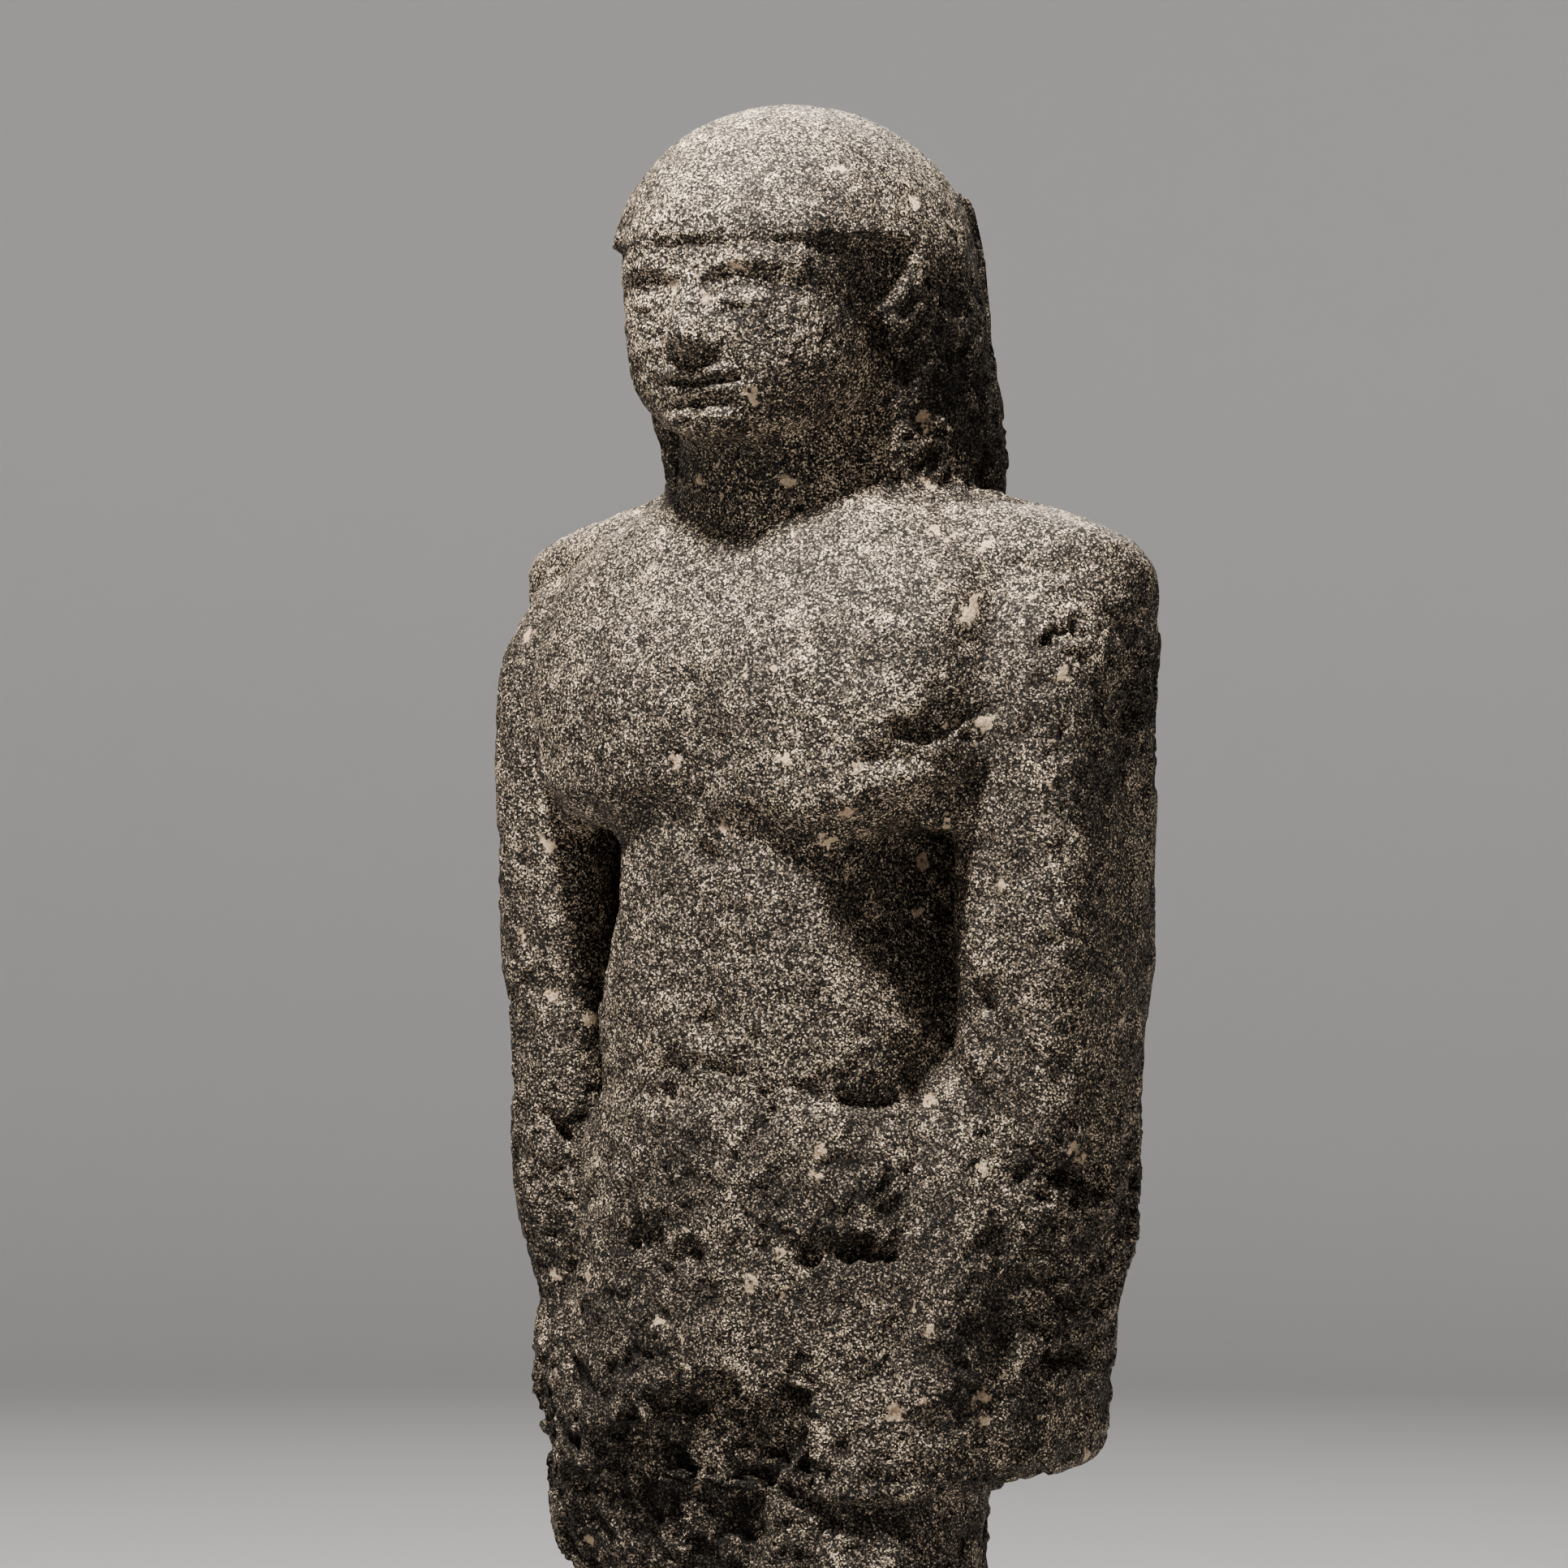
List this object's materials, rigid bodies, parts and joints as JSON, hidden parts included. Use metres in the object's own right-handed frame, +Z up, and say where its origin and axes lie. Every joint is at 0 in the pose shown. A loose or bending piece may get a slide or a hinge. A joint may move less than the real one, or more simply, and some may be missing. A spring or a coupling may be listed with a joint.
{
  "type": "ancient egyptian noble statue",
  "caption": "Standing Egyptian noble in a plain wig and short kilt, arms at the sides and left foot forward, worn dark granite with back pillar and low base.",
  "frame": {"origin": "middle of the footprint, on the flat underside of the base", "axes": "+Z up, the figure faces -Y, its own left side is at +X"},
  "size_m": [0.3474, 0.4198, 1.2152],
  "materials": {
    "granite": "dark granite with cream and pinkish grains, worn matt and pitted"
  },
  "bodies": {
    "root": {"noble_statue": "granite"}
  },
  "joints": []
}
